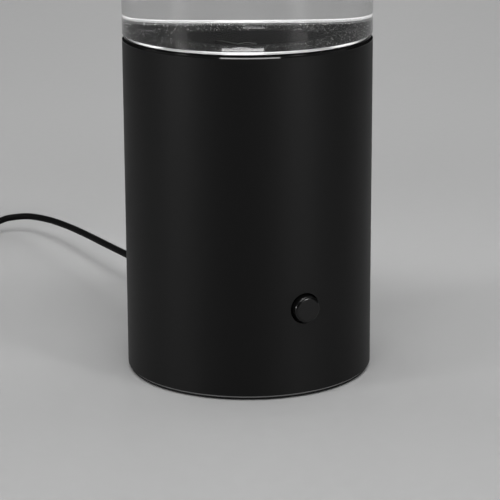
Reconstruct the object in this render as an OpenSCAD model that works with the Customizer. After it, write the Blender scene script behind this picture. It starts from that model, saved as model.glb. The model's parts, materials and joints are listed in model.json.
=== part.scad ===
// Water vortex table lamp: black base, clear water tube, magnetic stirrer and a push button.
// Millimetres, +Z up. The origin is the middle of the table face, and the button looks along -Y.

/* [Base casing] */
// Outer diameter of the casing, the clear tube and the lid
lamp_d = 110; // [104:1:126]
// Height of the casing from its lower edge to its rim
casing_h = 149.6; // [135:0.1:190]
// Wall of the casing
casing_wall = 3; // [2.5:0.1:3.5]
// Bevel round the casing's shoulder
shoulder_bevel = 1; // [0.4:0.1:1.4]
// Bevel on the casing's lower edge
edge_bevel = 0.8; // [0.2:0.1:1.4]
// Width of the shelf inside the rim that carries the vessel floor
shelf_w = 8; // [7:0.5:9]
// Thickness of that shelf
shelf_t = 3; // [2:0.5:5]

/* [Bottom cover and feet] */
// Thickness of the bottom cover
cover_t = 3.4; // [3:0.1:5]
// Diameter of a rubber foot
foot_d = 14; // [8:1:15]
// How far a foot stands below the casing
foot_h = 1.2; // [0.8:0.1:3]
// How far the cover's rim under the casing stays off the table
rim_lift = 0.3; // [0.2:0.1:0.6]
// How far that rim stays behind the casing's side
rim_inset = 1; // [0.5:0.1:2]
// Depth of a foot's pocket in the cover
foot_seat = 0.8; // [0.4:0.1:1.4]
// Height of the screw bosses above the cover
boss_h = 12; // [9:1:18]

/* [Vessel] */
// Length of the clear tube
tube_h = 255; // [150:5:320]
// Wall of the clear tube
tube_wall = 3.5; // [3:0.1:4]
// Polished bevel round the tube's foot
tube_bevel = 1.3; // [0.4:0.1:1.6]
// Thickness of the floor below the casing's rim
floor_t = 4; // [3.5:0.5:6]
// Thickness of the floor's flange between rim and tube
flange_t = 0.5; // [0.3:0.1:2]
// How far the flange stays behind the casing's side
flange_inset = 0.8; // [0.4:0.1:1.2]
// Height of the floor's step inside the tube
floor_step = 0.3; // [0.2:0.1:1.5]
// Radius of the seal bead between floor and tube
seal_r = 1; // [0.6:0.1:2.5]

/* [Lid] */
// Height of the lid above the tube
lid_h = 14; // [9:0.5:20]
// Rounding of the lid's top edge
lid_round = 2; // [0.5:0.5:3]
// How deep the lid's plug reaches into the tube
plug_depth = 9; // [7:0.5:14]
// Cord diameter of the lid's seal ring
lid_seal_d = 3; // [2:0.5:3.5]

/* [Stirrer] */
// Gap between the impeller and the wall of its well
impeller_gap = 3; // [1.5:0.5:5]
// Depth of the impeller's pin below the vessel's floor
well_margin = 2; // [1:0.5:6]
// Wall and bottom of the well
well_wall = 2; // [1.6:0.1:2.4]
// Diameter of the impeller
impeller_d = 40; // [38:1:44]
// Height of the impeller's vanes above its disc
vane_h = 6; // [3:0.5:9]
// Number of vanes
vane_count = 4; // [2:1:6]
// Diameter of the impeller's pin
pin_d = 3; // [2:0.5:4]
// Diameter of a coupling magnet
magnet_d = 8; // [5:0.5:9]
// Thickness of a coupling magnet
magnet_t = 4; // [2:0.5:6]

/* [Drive] */
// Air gap between the magnet carrier and the well
drive_gap = 1.5; // [0.8:0.1:3]
// Diameter of the motor's can
motor_d = 27.7; // [24:0.1:32]
// Length of the motor's can
motor_len = 38; // [30:1:45]
// Diameter of the motor's shaft
shaft_d = 2.3; // [2:0.1:3]
// Thickness of the motor bracket
bracket_t = 2.5; // [2:0.5:4]

/* [Light] */
// Number of lamps on the light board
led_count = 6; // [3:3:6]
// Diameter of a light window in the floor
lens_d = 8; // [5:0.5:9]

/* [Button] */
// Diameter of the button
button_d = 12; // [8:0.5:13]
// Gap between the button and its hole
button_gap = 0.8; // [0.4:0.1:1]
// How far the button stands out of the casing
button_proud = 2.8; // [2:0.1:5]
// Rounding of the button's edge
button_round = 1.4; // [0.3:0.1:1.8]
// Height of the button above the table
button_z = 40; // [34:1:70]
// Travel of the button
button_travel = 2; // [1:0.1:2.2]

/* [Cord] */
// Diameter of the cord
cord_d = 3.5; // [3:0.1:4]
// Length of the strain relief outside the casing
relief_len = 22; // [18:0.5:30]

/* [Hidden] */
$fn = 96;

// Clearances: pieces that are pressed or screwed together, slide into each other, or run in each other
press_gap = 0.03;
fit_gap = 0.2;
run_gap = 0.05;
slide_gap = 0.3;
// A cut runs this far past the face that it opens
past = 1;

// Screws: thread, head and the hole that clears the thread
screw_d = 3;
screw_head_d = 5.5;
screw_head_h = 2;
screw_hole_d = screw_d + 2 * fit_gap;
pilot_d = screw_d + 2 * press_gap;
small_screw_d = 2.2;
small_head_d = 4;
small_head_h = 1.5;
small_hole_d = small_screw_d + 2 * fit_gap;
small_pilot_d = small_screw_d + 2 * press_gap;
// A pilot hole runs this far past the tip of its screw
thread_spare = 1;

// Radii of the stacked shells
lamp_r = lamp_d / 2;
casing_ri = lamp_r - casing_wall;
shelf_ri = casing_ri - shelf_w;
shelf_screw_r = casing_ri - shelf_w / 2;
floor_r = casing_ri - fit_gap;
flange_r = lamp_r - flange_inset;
tube_ri = lamp_r - tube_wall;
step_r = tube_ri - fit_gap;

// Heights of the stacked shells
casing_z = foot_h;
rim_z = casing_z + casing_h;
shelf_z = rim_z - floor_t;
tube_z = rim_z + flange_t;
floor_z = tube_z + floor_step;
tube_top = tube_z + tube_h;
cover_top = casing_z + cover_t;
cover_r = casing_ri - fit_gap;
cover_rim_w = 1.5;

// Lid: a hollow cover that sits on the tube, and a plug with the seal ring inside the tube
lid_wall = 3;
lid_skirt_r = tube_ri - slide_gap;
lid_gap = 0.1;
lid_z = tube_top + lid_gap;
lid_top = lid_z + lid_h;
lid_seat_z = lid_top - lid_wall;
plug_low = tube_top - plug_depth;
seal_z = tube_top - plug_depth / 2;
lid_seal_squeeze = 0.15;
groove_r = tube_ri - lid_seal_squeeze - lid_seal_d;

// Bottom cover screws stand on bosses that are joined to the casing's wall
boss_d = 9;
boss_wall_gap = 0.5;
boss_web = 7.2;
boss_roof = 2;
boss_r = casing_ri - boss_wall_gap - boss_d / 2;
boss_angles = [45, 135, 225, 315];
head_sink = screw_head_h + fit_gap;
cover_bite = boss_h - boss_roof - thread_spare;
cover_screw_len = cover_t - head_sink + cover_bite;
floor_bite = floor_t - thread_spare;
foot_angles = [0, 90, 180, 270];
foot_margin = 7;
foot_ring_r = casing_ri - foot_margin - foot_d / 2;

// Control board on posts of the bottom cover
board_t = 1.6;
post_h = 8;
post_d = 6;
board_gap = 1.5;
control_bite = 4;
control_r = boss_r - boss_d / 2 - board_gap;
control_post_r = control_r - post_d / 2 - small_screw_d;
// Controller and driver: x, y, width, length, height. Then the capacitor: x, y, diameter, height
chips = [[-16, 4, 9, 9, 1.6], [15, -12, 6, 5, 1.5]];
capacitor = [14, 14, 8, 11];
control_z = cover_top + post_h;
control_top = control_z + board_t;

// Well, impeller and pin, from the bottom up
well_d = impeller_d + 2 * impeller_gap;
pin_boss_h = 1;
pin_boss_d = pin_d + 4;
pin_root = 2.2;
washer_t = 0.6;
washer_play = 0.1;
magnet_cover = 1;
impeller_disc_t = magnet_t + magnet_cover;
clip_gap = 0.2;
clip_t = 0.8;
clip_d = pin_d + 3;
pin_end = 0.4;
impeller_rise = pin_boss_h + washer_t + washer_play;
stack_h = impeller_rise + impeller_disc_t + vane_h + clip_gap + clip_t + pin_end;
well_depth = stack_h + well_margin;
well_z = floor_z - well_depth;
well_under = well_z - well_wall;
impeller_z = well_z + impeller_rise;
vane_z = impeller_z + impeller_disc_t;
vane_t = 2;
hub_d = pin_d + 5;
hub_top = vane_z + vane_h;
pin_top = well_z + stack_h;
magnet_angles = [0, 180];
magnet_rim = 3;
magnet_ring_r = hub_d / 2 + magnet_rim + magnet_d / 2;

// Magnet carrier, bracket and motor, from the top down
carrier_d = 2 * (magnet_ring_r + magnet_d / 2 + magnet_rim);
carrier_floor = 3;
carrier_t = magnet_t + carrier_floor;
carrier_top = well_under - drive_gap;
carrier_z = carrier_top - carrier_t;
bracket_gap = 3;
bracket_top = carrier_z - bracket_gap;
motor_top = bracket_top - bracket_t;
motor_z = motor_top - motor_len;
bell_t = 5;
bell_d = motor_d - 0.6;
bell_z = motor_z - bell_t;
terminal_h = 3;
terminal_w = 2.4;
terminal_t = 0.6;
terminal_x = motor_d * 0.28;
shaft_roof = 1;
shaft_top = carrier_top - shaft_roof;
shaft_root = motor_top - motor_len * 0.8;
nose_d = 10;
nose_h = bracket_t - 0.5;
motor_screw_r = nose_d / 2 + screw_d;
motor_bite = 4;
motor_screw_len = bracket_t + motor_bite;
bracket_post_d = 7;
bracket_post_r = well_d / 2 + well_wall + bracket_post_d;
bracket_post_angles = [90, 210, 330];
bracket_rim = 1.5;
bracket_r = bracket_post_r + bracket_post_d / 2 + bracket_rim;
bracket_bite = 7;
bracket_screw_len = bracket_t + bracket_bite;

// Light board under the floor, with its windows
lens_flange = 1;
lens_flange_t = 1.5;
lens_z = shelf_z - lens_flange_t;
led_w = 5;
led_h = 1.6;
led_gap = 0.6;
led_board_top = lens_z - led_gap - led_h;
led_board_z = led_board_top - board_t;
led_edge_gap = 1;
led_board_ri = well_d / 2 + well_wall + led_edge_gap;
led_board_r = shelf_ri - led_edge_gap;
led_ring_r = (led_board_ri + led_board_r) / 2;
led_bite = 3;
led_screw_r = led_board_r - small_head_d;
led_screw_angles = [30, 150, 270];
led_boss_d = 6;
led_screw_len = board_t + led_bite;
led_angles = [for (i = [0 : led_count - 1]) i * 360 / led_count];

// Button stack, measured outwards from the lamp's axis
button_hole_d = button_d + 2 * button_gap;
pad_t = 2.5;
pad_face = casing_ri - pad_t;
button_face = lamp_r + button_proud;
button_flange_w = 2;
button_flange_d = button_d + 2 * button_flange_w;
button_flange_t = 1.5;
button_flange_top = pad_face - fit_gap;
button_flange_z = button_flange_top - button_flange_t;
guide_bore_d = button_flange_d + 2 * slide_gap;
guide_column_d = 5;
guide_web = 1.4;
guide_rim = 2.2;
switch_screw_x = guide_bore_d / 2 + guide_web + small_screw_d / 2;
pad_w = 2 * switch_screw_x + guide_column_d + 2 * fit_gap;
pad_h = guide_bore_d + 2 * guide_rim;
guide_back_t = 2;
guide_len = 10;
guide_z = pad_face - guide_len;
guide_floor = guide_z + guide_back_t;
stem_d = 4;
stem_lift = 1.8;
stem_end = guide_floor + stem_lift;
stem_hole_d = stem_d + 1;
switch_w = 8.5;
switch_len = 6;
switch_z = guide_z - switch_len;
plunger_d = 3;
plunger_reach = 3;
plunger_spare = 0.5;
plunger_end = guide_z - plunger_reach;
plunger_bore_end = plunger_end - button_travel - plunger_spare;
switch_board_z = switch_z - board_t;
pad_bite = 2.2;
switch_screw_len = pad_face - switch_board_z + pad_bite;
spring_wire = 0.8;
spring_mean_d = (stem_d + button_flange_d) / 2;
spring_turns = 4;
spring_low = guide_floor + spring_wire / 2 + run_gap;
spring_high = button_flange_z - spring_wire / 2 - run_gap;

// Leads inside the base
lead_d = 1.4;
led_lead_x = led_board_ri + lead_d;
led_lead_y = 2;
switch_lead_x = 3;
switch_lead_y = -(switch_board_z - lead_d / 2);
bracket_lead_hole = 8;

// Terminal block and strain relief at the back
cord_z = 18;
block_w = 10;
block_len = 8;
block_h = 9;
block_edge = 11;
block_y = control_r - block_edge - block_len;
relief_hole_d = 7;
relief_neck_d = relief_hole_d - fit_gap;
relief_flange_d = 11;
relief_flange_t = 2;
relief_wall_gap = 0.5;
relief_flange_y = casing_ri - relief_wall_gap - relief_flange_t;
relief_base_d = 9.2;
relief_base_len = 3;
relief_tip_d = cord_d + 1.6;
relief_end = lamp_r + relief_len;
relief_groove = 1.2;
relief_groove_count = 4;
relief_groove_step = 3.1;

// Coil: spirals in and out again, one layer after the other
coil_x = -68;
coil_y = 208;
coil_z = cord_d / 2 + 1.25;
coil_r = 24.6;
coil_turn_gap = 0.6;
coil_pitch = cord_d + coil_turn_gap;
coil_layers = 4;
layer_turns = 2.25;
coil_turns = coil_layers * layer_turns;
coil_in_r = coil_r - layer_turns * coil_pitch;
coil_rings = 24;
coil_sides = 6;
coil_lead = cord_d;
coil_top = coil_z + (coil_layers - 1) * coil_pitch;

// Tie round the coil
tie_w = 5;
tie_t = 0.8;
tie_room = 0.4;

// Plug beside the coil, along +X
plug_x = -70;
plug_y = 243;
boot_len = 8;
boot_d = 6.4;
plug_len = 26;
plug_w = 16;
plug_h = 8.4;
plug_z = plug_h / 2 + 0.1;
plug_corner = 2;
shell_len = 12;
shell_w = 12;
shell_h = 4.5;
shell_t = 0.4;
tongue_w = 10.8;
tongue_h = 1.8;
tongue_len = 9.5;
tongue_y = -(shell_h / 2 - shell_t - tongue_h / 2 - run_gap);
contact_count = 4;
contact_pitch = 2.3;
contact_w = 1.2;
contact_t = 0.2;
contact_len = 7;

// Free stretch of the cord from the strain relief to the coil: x and y behind the strain relief,
// and the share of the drop from the strain relief to the coil that is left
cord_route = [
  [0, 0, 1], [0, 9, 1], [0, 24, 0.97], [0, 44, 0.92], [0, 66, 0.83], [0, 92, 0.75], [0, 119, 0.67],
  [-0.5, 144, 0.58], [-3, 166, 0.5], [-8.5, 183, 0.41], [-17.5, 189, 0.33], [-24, 187.5, 0.28],
  [-35, 185, 0.18], [-46, 184, 0.09], [-56, 183.5, 0.03], [coil_x + coil_lead, coil_y - coil_r, 0]
];
// Last stretch of the cord from the coil to the plug: x, y, and the share of the drop that is left
tail_route = [
  [coil_x - coil_lead, coil_y - coil_r, 1],
  [-80, 184.8, 0.94], [-90, 190.5, 0.79], [-97.5, 199.5, 0.59],
  [-101, 211, 0.36], [-99, 223, 0.17], [-92.5, 233.5, 0.05], [-83, 240.5, 0.01], [-75, 243, 0],
  [plug_x, plug_y, 0]
];
cord_points = [for (p = cord_route) [p[0], p[1], coil_z + p[2] * (cord_z - coil_z)]];
tail_points = [for (p = tail_route) [p[0], p[1], plug_z + p[2] * (coil_top - plug_z)]];
route_steps = 3;
cord_sides = 8;

module around(angles, r) {
  for (a = angles) rotate(a) translate([r, 0, 0]) children();
}

// Looks outwards through the front of the casing at the button's height
module at_button() {
  translate([0, 0, button_z]) rotate([90, 0, 0]) children();
}

// Everything on the free cord lies behind the strain relief's end
module behind() {
  translate([0, relief_end, 0]) children();
}

// Looks outwards through the back of the casing at the cord's height
module at_cord() {
  translate([0, 0, cord_z]) rotate([-90, 0, 0]) children();
}

module ring(r_out, r_in, h) {
  difference() {
    cylinder(r = r_out, h = h);
    translate([0, 0, -past]) cylinder(r = r_in, h = h + 2 * past);
  }
}

// Screw that points up, with its head below z = 0
module screw(d, len, head_d, head_h) {
  difference() {
    union() {
      translate([0, 0, -head_h]) cylinder(d = head_d, h = head_h);
      cylinder(d = d, h = len);
    }
    translate([0, 0, -head_h - past]) cylinder(d = head_d * 0.5, h = head_h * 0.6 + past, $fn = 6);
  }
}

// Block with its middle on the axis, its base on z = 0
module block(w, l, h) {
  translate([-w / 2, -l / 2, 0]) cube([w, l, h]);
}

module rounded_rect(w, h, r) {
  union() {
    translate([-w / 2 + r, -h / 2]) square([w - 2 * r, h]);
    translate([-w / 2, -h / 2 + r]) square([w, h - 2 * r]);
    for (x = [-1, 1]) for (y = [-1, 1]) translate([x * (w / 2 - r), y * (h / 2 - r)]) circle(r);
  }
}

// Smooth curve through hand-chosen points
function between(a, b, c, d, t) =
  b + 0.5 * t * (c - a + t * (2 * a - 5 * b + 4 * c - d + t * (3 * b - a - 3 * c + d)));
function smooth(p, k) = let (n = len(p) - 1) concat(
  [for (i = [0 : n - 1]) for (j = [0 : k - 1])
    between(p[max(i - 1, 0)], p[i], p[i + 1], p[min(i + 2, n)], j / k)],
  [p[n]]);
function unit(v) = v / norm(v);
function heading(p, i) = unit(p[min(i + 1, len(p) - 1)] - p[max(i - 1, 0)]);
function ring_points(p, i, r, n) =
  let (t = heading(p, i), side = unit(cross([0, 0, 1], t)), up = cross(t, side))
  [for (k = [0 : n - 1]) p[i] + r * (cos(360 * k / n) * side + sin(360 * k / n) * up)];
function path_length(p, i = 0) =
  i >= len(p) - 1 ? 0 : norm(p[i + 1] - p[i]) + path_length(p, i + 1);

// Round tube swept along a path, as triangles
module swept_tube(path, d, n) {
  last = len(path) - 1;
  points = [for (i = [0 : last]) for (q = ring_points(path, i, d / 2, n)) q];
  sides = [for (i = [0 : last - 1]) for (k = [0 : n - 1])
    let (a = i * n + k, b = a + n, c = (i + 1) * n + (k + 1) % n, e = i * n + (k + 1) % n)
    each [[a, b, c], [a, c, e]]];
  ends = [for (k = [1 : n - 2]) each [[0, k, k + 1], [last * n, last * n + k + 1, last * n + k]]];
  polyhedron(points = points, faces = concat(sides, ends));
}

// Spiral of the coil: radius and height after t turns
function coil_radius(t) =
  let (k = min(floor(t / layer_turns), coil_layers - 1), u = t - k * layer_turns)
  k % 2 == 0 ? coil_r - coil_pitch * u : coil_in_r + coil_pitch * u;
function ramp(u) = let (v = min(max(u, 0), 1)) v * v * (3 - 2 * v);
function coil_rise(t, k = 1) =
  k >= coil_layers ? 0 : ramp((t - k * layer_turns) * 2 + 0.5) * coil_pitch + coil_rise(t, k + 1);
function coil_point(t) = let (a = -90 - 360 * t, r = coil_radius(t))
  [coil_x + r * cos(a), coil_y + r * sin(a), coil_z + coil_rise(t)];
coil_path = concat(
  [[coil_x + coil_lead, coil_y - coil_r, coil_z]],
  [for (i = [0 : coil_turns * coil_rings]) coil_point(i / coil_rings)],
  [[coil_x - coil_lead, coil_y - coil_r, coil_top]]);
coil_gap = min([for (i = [0 : len(coil_path) - 1]) for (j = [i + coil_rings / 2 : len(coil_path) - 1])
  norm(coil_path[i] - coil_path[j])]) - cord_d;
cord_path = smooth(cord_points, route_steps);
tail_path = smooth(tail_points, route_steps);
echo(least_gap_between_coil_turns = coil_gap);
echo(cord_lengths = [path_length(cord_path), path_length(coil_path), path_length(tail_path)]);

// Helix of the button's spring, along the button's axis, in the lamp's frame
spring_rings = 12;
spring_path = [for (i = [0 : spring_turns * spring_rings])
  let (a = 360 * i / spring_rings, s = i / (spring_turns * spring_rings))
  [spring_mean_d / 2 * cos(a), -(spring_low + s * (spring_high - spring_low)),
    button_z + spring_mean_d / 2 * sin(a)]];

module base_casing() {
  color([0.06, 0.06, 0.065]) difference() {
    union() {
      rotate_extrude() union() {
        polygon([
          [casing_ri, casing_z], [lamp_r - edge_bevel, casing_z], [lamp_r, casing_z + edge_bevel],
          [lamp_r, rim_z - shoulder_bevel], [lamp_r - shoulder_bevel, rim_z], [casing_ri, rim_z]
        ]);
        translate([shelf_ri, shelf_z - shelf_t]) square([shelf_w, shelf_t]);
      }
      // Screw bosses on the inside of the wall
      intersection() {
        cylinder(r = casing_ri + casing_wall / 2, h = rim_z);
        around(boss_angles, boss_r) translate([0, 0, cover_top]) union() {
          cylinder(d = boss_d, h = boss_h);
          translate([0, -boss_web / 2, 0]) cube([boss_d, boss_web, boss_h]);
        }
      }
      // Flat pad behind the button
      intersection() {
        cylinder(r = casing_ri + casing_wall / 2, h = rim_z);
        at_button() translate([0, 0, pad_face]) block(pad_w, pad_h, lamp_r - pad_face);
      }
    }
    around(boss_angles, boss_r) translate([0, 0, cover_top - past])
      cylinder(d = pilot_d, h = past + cover_bite + thread_spare);
    around(boss_angles, shelf_screw_r)
      translate([0, 0, shelf_z - shelf_t - past]) cylinder(d = screw_hole_d, h = shelf_t + 2 * past);
    at_button() cylinder(d = button_hole_d, h = lamp_r + past);
    at_button() for (x = [-1, 1]) translate([x * switch_screw_x, 0, pad_face - past])
      cylinder(d = small_pilot_d, h = past + pad_bite + thread_spare);
    at_cord() cylinder(d = relief_hole_d, h = lamp_r + past);
  }
}

module bottom_cover() {
  color([0.08, 0.08, 0.08]) difference() {
    union() {
      translate([0, 0, casing_z]) cylinder(r = cover_r, h = cover_t);
      // Rim that closes the gap under the casing
      rotate_extrude() polygon([
        [cover_r - cover_rim_w, rim_lift], [lamp_r - rim_inset, rim_lift], [lamp_r - rim_inset, casing_z],
        [cover_r, casing_z], [cover_r, casing_z + past], [cover_r - cover_rim_w, casing_z + past]
      ]);
      around(boss_angles, control_post_r)
        translate([0, 0, cover_top - past]) cylinder(d = post_d, h = post_h + past);
    }
    around(boss_angles, boss_r) translate([0, 0, casing_z - past]) union() {
      cylinder(d = screw_head_d + 2 * fit_gap, h = head_sink + past);
      cylinder(d = screw_hole_d, h = cover_t + 2 * past);
    }
    around(foot_angles, foot_ring_r) translate([0, 0, casing_z - past])
      cylinder(d = foot_d + fit_gap, h = foot_seat + past);
    around(boss_angles, control_post_r) translate([0, 0, control_z - control_bite - thread_spare])
      cylinder(d = small_pilot_d, h = control_bite + thread_spare + past);
  }
}

module cover_screws() {
  color([0.35, 0.35, 0.36]) around(boss_angles, boss_r)
    translate([0, 0, casing_z + head_sink]) screw(screw_d, cover_screw_len, screw_head_d, screw_head_h);
}

module rubber_feet() {
  color([0.05, 0.05, 0.05]) around(foot_angles, foot_ring_r)
    cylinder(d = foot_d, h = foot_h + foot_seat);
}

module vessel_floor() {
  color([0.05, 0.05, 0.055]) difference() {
    union() {
      translate([0, 0, shelf_z]) cylinder(r = floor_r, h = floor_t);
      translate([0, 0, rim_z]) cylinder(r = flange_r, h = flange_t);
      translate([0, 0, tube_z]) cylinder(r = step_r, h = floor_step);
      translate([0, 0, well_under])
        cylinder(d = well_d + 2 * well_wall, h = shelf_z - well_under + past);
      around(bracket_post_angles, bracket_post_r)
        translate([0, 0, bracket_top]) cylinder(d = bracket_post_d, h = shelf_z - bracket_top + past);
      around(led_screw_angles, led_screw_r)
        translate([0, 0, led_board_top]) cylinder(d = led_boss_d, h = shelf_z - led_board_top + past);
    }
    difference() {
      translate([0, 0, well_z]) cylinder(d = well_d, h = well_depth + past);
      translate([0, 0, well_z - past]) cylinder(d = pin_boss_d, h = pin_boss_h + past);
    }
    translate([0, 0, well_z + pin_boss_h - pin_root])
      cylinder(d = pin_d + 2 * press_gap, h = pin_root + past);
    around(led_angles, led_ring_r)
      translate([0, 0, shelf_z - past])
        cylinder(d = lens_d + 2 * press_gap, h = floor_z - shelf_z + 2 * past);
    around(bracket_post_angles, bracket_post_r)
      translate([0, 0, bracket_top - past]) cylinder(d = pilot_d, h = past + bracket_bite + thread_spare);
    around(led_screw_angles, led_screw_r)
      translate([0, 0, led_board_top - past])
        cylinder(d = small_pilot_d, h = past + led_bite + thread_spare);
    around(boss_angles, shelf_screw_r) translate([0, 0, shelf_z - past])
      cylinder(d = pilot_d, h = past + floor_bite + thread_spare);
  }
}

module floor_screws() {
  color([0.6, 0.6, 0.62]) around(boss_angles, shelf_screw_r)
    translate([0, 0, shelf_z - shelf_t])
      screw(screw_d, shelf_t + floor_bite, screw_head_d, screw_head_h);
}

module vessel_tube() {
  color([0.8, 0.85, 0.87, 0.35]) rotate_extrude() polygon([
    [tube_ri, tube_z], [lamp_r - tube_bevel, tube_z], [lamp_r, tube_z + tube_bevel],
    [lamp_r, tube_top], [tube_ri, tube_top]
  ]);
}

module vessel_seal() {
  color([0.85, 0.87, 0.88, 0.5]) rotate_extrude() intersection() {
    translate([tube_ri, floor_z]) circle(seal_r);
    translate([tube_ri - seal_r, floor_z]) square(seal_r);
  }
}

module lid_cover() {
  color([0.06, 0.06, 0.065]) rotate_extrude() difference() {
    union() {
      translate([0, lid_z]) square([lamp_r, lid_h - lid_round]);
      translate([0, lid_z]) square([lamp_r - lid_round, lid_h]);
      translate([lamp_r - lid_round, lid_top - lid_round]) circle(lid_round);
    }
    translate([-past, lid_z - past])
      square([lid_skirt_r + press_gap + past, lid_seat_z - lid_z + past]);
  }
}

module lid_plug() {
  color([0.07, 0.07, 0.07]) rotate_extrude() difference() {
    translate([0, plug_low]) square([lid_skirt_r, lid_seat_z - plug_low]);
    translate([-past, plug_low + lid_wall]) square([groove_r - lid_wall + past, lid_seat_z - plug_low]);
    translate([groove_r - press_gap, seal_z - lid_seal_d / 2 - press_gap])
      square([lid_seal_d + 2 * past, lid_seal_d + 2 * press_gap]);
  }
}

module lid_seal() {
  color([0.12, 0.12, 0.12]) rotate_extrude() translate([groove_r + lid_seal_d / 2, seal_z])
    circle(d = lid_seal_d);
}

module impeller() {
  color([0.1, 0.1, 0.11]) difference() {
    union() {
      translate([0, 0, impeller_z]) cylinder(d = impeller_d, h = impeller_disc_t);
      translate([0, 0, impeller_z]) cylinder(d = hub_d, h = hub_top - impeller_z);
      intersection() {
        translate([0, 0, vane_z - past]) cylinder(d = impeller_d, h = vane_h + past);
        for (i = [0 : vane_count - 1]) rotate(i * 360 / vane_count)
          translate([hub_d / 4, -vane_t / 2, vane_z - past]) cube([impeller_d, vane_t, vane_h + past]);
      }
    }
    translate([0, 0, impeller_z - past])
      cylinder(d = pin_d + 2 * run_gap, h = hub_top - impeller_z + 2 * past);
    around(magnet_angles, magnet_ring_r)
      translate([0, 0, impeller_z - past]) cylinder(d = magnet_d + 2 * press_gap, h = magnet_t + past);
  }
}

module impeller_magnets() {
  color([0.55, 0.55, 0.57]) around(magnet_angles, magnet_ring_r)
    translate([0, 0, impeller_z]) cylinder(d = magnet_d, h = magnet_t);
}

module impeller_pin() {
  color([0.75, 0.76, 0.78]) translate([0, 0, well_z + pin_boss_h - pin_root])
    cylinder(d = pin_d, h = pin_top - well_z - pin_boss_h + pin_root);
}

module impeller_clip() {
  color([0.7, 0.71, 0.73])
    translate([0, 0, hub_top + clip_gap]) ring(clip_d / 2, pin_d / 2 + press_gap, clip_t);
}

module thrust_washer() {
  color([0.92, 0.92, 0.9])
    translate([0, 0, well_z + pin_boss_h]) ring(pin_boss_d / 2, pin_d / 2 + press_gap, washer_t);
}

module drive_carrier() {
  color([0.85, 0.84, 0.8]) difference() {
    translate([0, 0, carrier_z]) cylinder(d = carrier_d, h = carrier_t);
    translate([0, 0, carrier_z - past])
      cylinder(d = shaft_d + 2 * press_gap, h = shaft_top - carrier_z + past);
    around(magnet_angles, magnet_ring_r)
      translate([0, 0, carrier_top - magnet_t])
        cylinder(d = magnet_d + 2 * press_gap, h = magnet_t + past);
  }
}

module drive_magnets() {
  color([0.55, 0.55, 0.57]) around(magnet_angles, magnet_ring_r)
    translate([0, 0, carrier_top - magnet_t]) cylinder(d = magnet_d, h = magnet_t);
}

module motor_shaft() {
  color([0.75, 0.76, 0.78]) translate([0, 0, shaft_root])
    cylinder(d = shaft_d, h = shaft_top - shaft_root);
}

module motor_can() {
  color([0.66, 0.67, 0.68]) difference() {
    union() {
      translate([0, 0, motor_z]) cylinder(d = motor_d, h = motor_len);
      translate([0, 0, motor_top]) cylinder(d = nose_d, h = nose_h);
    }
    translate([0, 0, shaft_root - 1])
      cylinder(d = shaft_d + 2 * run_gap, h = motor_top - shaft_root + nose_h + 1 + past);
    around([90, 270], motor_screw_r) translate([0, 0, motor_top - motor_bite - thread_spare])
      cylinder(d = pilot_d, h = motor_bite + thread_spare + past);
  }
}

module motor_end_bell() {
  color([0.9, 0.89, 0.85]) translate([0, 0, bell_z]) cylinder(d = bell_d, h = bell_t);
}

module motor_terminals() {
  color([0.8, 0.66, 0.32]) for (x = [-1, 1])
    translate([x * terminal_x, 0, bell_z - terminal_h]) block(terminal_t, terminal_w, terminal_h);
}

module motor_bracket() {
  color([0.62, 0.63, 0.64]) difference() {
    translate([0, 0, motor_top]) cylinder(r = bracket_r, h = bracket_t);
    translate([0, 0, motor_top - past]) cylinder(d = nose_d + 2 * fit_gap, h = bracket_t + 2 * past);
    around([90, 270], motor_screw_r) translate([0, 0, motor_top - past])
      cylinder(d = screw_hole_d, h = bracket_t + 2 * past);
    around(bracket_post_angles, bracket_post_r)
      translate([0, 0, motor_top - past]) cylinder(d = screw_hole_d, h = bracket_t + 2 * past);
    translate([led_lead_x, 0, motor_top - past])
      cylinder(d = bracket_lead_hole, h = bracket_t + 2 * past);
  }
}

module motor_screws() {
  color([0.6, 0.6, 0.62]) around([90, 270], motor_screw_r)
    translate([0, 0, bracket_top]) mirror([0, 0, 1])
      screw(screw_d, motor_screw_len, screw_head_d, screw_head_h);
}

module bracket_screws() {
  color([0.6, 0.6, 0.62]) around(bracket_post_angles, bracket_post_r)
    translate([0, 0, motor_top]) screw(screw_d, bracket_screw_len, screw_head_d, screw_head_h);
}

module led_board() {
  color([0.12, 0.3, 0.16]) difference() {
    translate([0, 0, led_board_z]) ring(led_board_r, led_board_ri, board_t);
    around(bracket_post_angles, bracket_post_r)
      translate([0, 0, led_board_z - past])
        cylinder(d = bracket_post_d + 2 * fit_gap, h = board_t + 2 * past);
    around(led_screw_angles, led_screw_r)
      translate([0, 0, led_board_z - past]) cylinder(d = small_hole_d, h = board_t + 2 * past);
  }
}

module leds() {
  color([0.95, 0.93, 0.8]) around(led_angles, led_ring_r) translate([0, 0, led_board_top])
    block(led_w, led_w, led_h);
}

module led_lenses() {
  color([0.06, 0.06, 0.065]) around(led_angles, led_ring_r) union() {
    translate([0, 0, lens_z]) cylinder(d = lens_d + 2 * lens_flange, h = lens_flange_t);
    translate([0, 0, lens_z]) cylinder(d = lens_d, h = floor_z - lens_z);
  }
}

module led_screws() {
  color([0.6, 0.6, 0.62]) around(led_screw_angles, led_screw_r)
    translate([0, 0, led_board_z]) screw(small_screw_d, led_screw_len, small_head_d, small_head_h);
}

module control_board() {
  color([0.1, 0.34, 0.2]) difference() {
    translate([0, 0, control_z]) cylinder(r = control_r, h = board_t);
    around(boss_angles, control_post_r) translate([0, 0, control_z - past])
      cylinder(d = small_hole_d, h = board_t + 2 * past);
  }
}

module control_chips() {
  translate([0, 0, control_top]) {
    color([0.1, 0.1, 0.1]) for (c = chips) translate([c[0], c[1], 0]) block(c[2], c[3], c[4]);
    color([0.15, 0.16, 0.2]) translate([capacitor[0], capacitor[1], 0])
      cylinder(d = capacitor[2], h = capacitor[3]);
  }
}

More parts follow.
